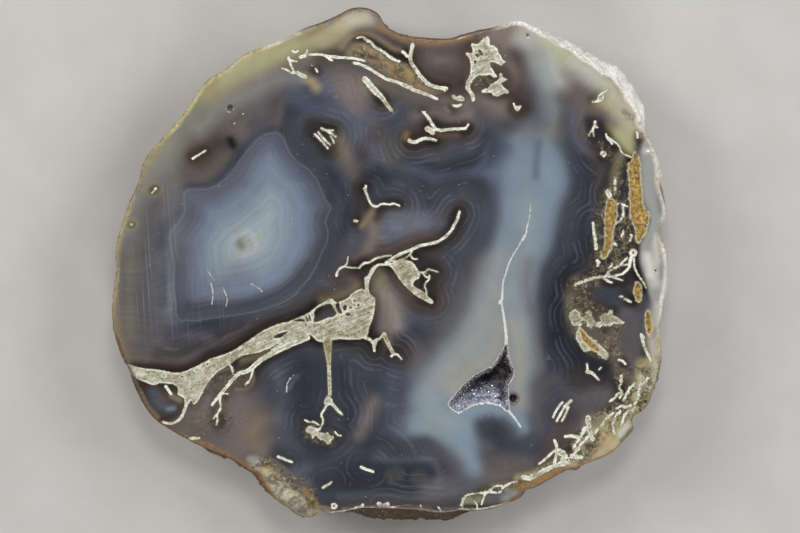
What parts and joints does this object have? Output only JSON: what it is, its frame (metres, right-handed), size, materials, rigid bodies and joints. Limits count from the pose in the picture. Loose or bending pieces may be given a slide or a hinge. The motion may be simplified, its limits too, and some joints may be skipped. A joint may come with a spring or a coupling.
{
  "type": "fortification agate slice",
  "caption": "Polished slab of banded chalcedony with mossy cream filaments, a rough rind round its side and a small vug lined with quartz crystals.",
  "frame": {"origin": "middle of the sawn back face's bounding box, on the surface that the slice lies on", "axes": "+Z out of the polished face, +X along the longest way across"},
  "size_m": [0.1114, 0.1026, 0.016],
  "materials": {
    "agate": "polished blue-grey and smoky banded chalcedony with cream and olive filaments, rough earthy rind, sawn matt back",
    "quartz": "crust of small colourless to pale lilac quartz points with bright facets"
  },
  "bodies": {
    "root": {"agate_slice": "agate", "vug_crystals": "quartz"}
  },
  "joints": []
}
